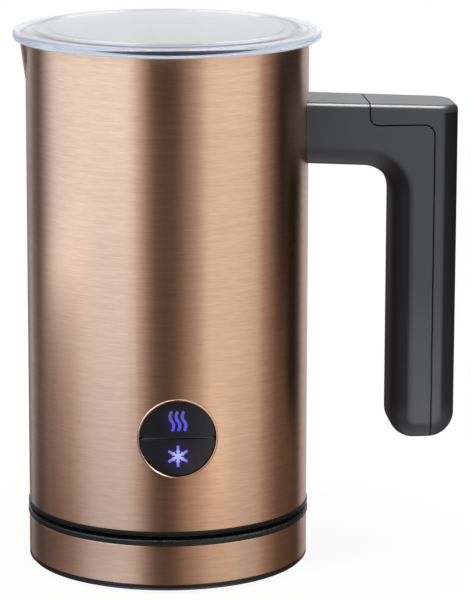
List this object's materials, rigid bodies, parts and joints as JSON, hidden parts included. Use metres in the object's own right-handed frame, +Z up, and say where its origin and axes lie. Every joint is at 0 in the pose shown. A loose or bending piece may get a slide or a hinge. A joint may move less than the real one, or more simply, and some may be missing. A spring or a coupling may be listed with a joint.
{
  "type": "milk frother",
  "caption": "Electric milk frother: brushed copper-coloured jug with a black handle and round button pair, lifting off a round powered base, with a clear lid and magnet-driven whisk.",
  "frame": {"origin": "on the table, under the jug's axis", "axes": "+Z up, +X towards the handle, -Y towards the buttons, +Y towards the cord bush"},
  "size_m": [0.1604, 0.1108, 0.1969],
  "materials": {
    "copper": "brushed, copper coloured",
    "satin_black": "satin",
    "gloss_black": "polished",
    "icon_light": "lit from behind",
    "clear_plastic": "clear",
    "silicone": "translucent matt",
    "black_rubber": "matt",
    "pot_coating": "dark non-stick coating",
    "steel": "plain",
    "aluminium": "rolled",
    "brass": "plain",
    "nylon": "moulded",
    "inner_plastic": "moulded",
    "magnet": "nickel plated",
    "ferrite": "plain",
    "carbon": "pressed",
    "board": "lacquered",
    "led": "diffused"
  },
  "bodies": {
    "base": {"base_bottom_cover": "satin_black", "base_band": "copper", "base_top_cover": "satin_black", "base_foot": "black_rubber", "base_screws": "steel", "base_socket": "inner_plastic", "base_contacts": "brass", "cord_gland": "black_rubber"},
    "connector": {"jug_connector": "inner_plastic", "connector_pin": "brass", "connector_ring": "brass"},
    "jug": {"outer_shell": "copper", "milk_pot": "pot_coating", "pot_spindle": "steel", "pot_studs": "steel", "jug_bottom_cover": "satin_black", "bottom_seal": "black_rubber", "bottom_screws": "steel", "chassis": "inner_plastic", "tie_screws": "steel", "heat_spreader": "aluminium", "heating_element": "steel", "temperature_sensor": "steel", "thermal_fuse": "steel", "motor_can": "steel", "motor_endcap": "inner_plastic", "motor_bushings": "brass", "motor_brushes": "carbon", "motor_magnets": "ferrite", "motor_screws": "steel", "control_board": "board", "board_parts": "inner_plastic", "board_screws": "steel", "button_bezel": "copper", "button_housing": "inner_plastic", "button_board": "board", "tact_switches": "inner_plastic", "button_leds": "led", "handle_inner": "satin_black", "handle_cover": "satin_black", "handle_plate": "steel", "handle_screws": "steel"},
    "lid": {"lid": "clear_plastic", "lid_gasket": "silicone"},
    "whisk_carrier": {"whisk_bush": "nylon"},
    "whisk": {"whisk_hub": "nylon", "whisk_coil": "steel", "whisk_magnets": "magnet"},
    "rotor": {"motor_armature": "steel", "magnet_carrier": "inner_plastic", "drive_magnets": "magnet"},
    "hot_button": {"hot_button": "gloss_black", "hot_icon": "icon_light", "hot_plunger": "inner_plastic"},
    "cold_button": {"cold_button": "gloss_black", "cold_icon": "icon_light", "cold_plunger": "inner_plastic"}
  },
  "joints": [
    {"name": "jug_lift", "type": "slide", "parent": "base", "child": "connector", "axis": [0, 0, 1], "range_m": [0, 0.06]},
    {"name": "jug_swivel", "type": "hinge", "parent": "connector", "child": "jug", "pos_m": [0, 0, 0.0242], "axis": [0, 0, 1], "continuous": true},
    {"name": "lid_lift", "type": "slide", "parent": "jug", "child": "lid", "axis": [0, 0, 1], "range_m": [0, 0.06]},
    {"name": "whisk_lift", "type": "slide", "parent": "jug", "child": "whisk_carrier", "axis": [0, 0, 1], "range_m": [0, 0.075]},
    {"name": "rotor_spin", "type": "hinge", "parent": "jug", "child": "rotor", "pos_m": [0, 0, 0.0709], "axis": [0, 0, 1], "continuous": true},
    {"name": "whisk_spin", "type": "hinge", "parent": "whisk_carrier", "child": "whisk", "pos_m": [0, 0, 0.0846], "axis": [0, 0, 1], "continuous": true},
    {"name": "hot_press", "type": "slide", "parent": "jug", "child": "hot_button", "axis": [0, 1, 0], "range_m": [0, 0.0008], "stiffness_N_per_m": 1000, "springref_m": -0.0005},
    {"name": "cold_press", "type": "slide", "parent": "jug", "child": "cold_button", "axis": [0, 1, 0], "range_m": [0, 0.0008], "stiffness_N_per_m": 1000, "springref_m": -0.0005}
  ],
  "couplings": [
    {"joint": "whisk_spin", "follows": "rotor_spin", "ratio": 1}
  ]
}
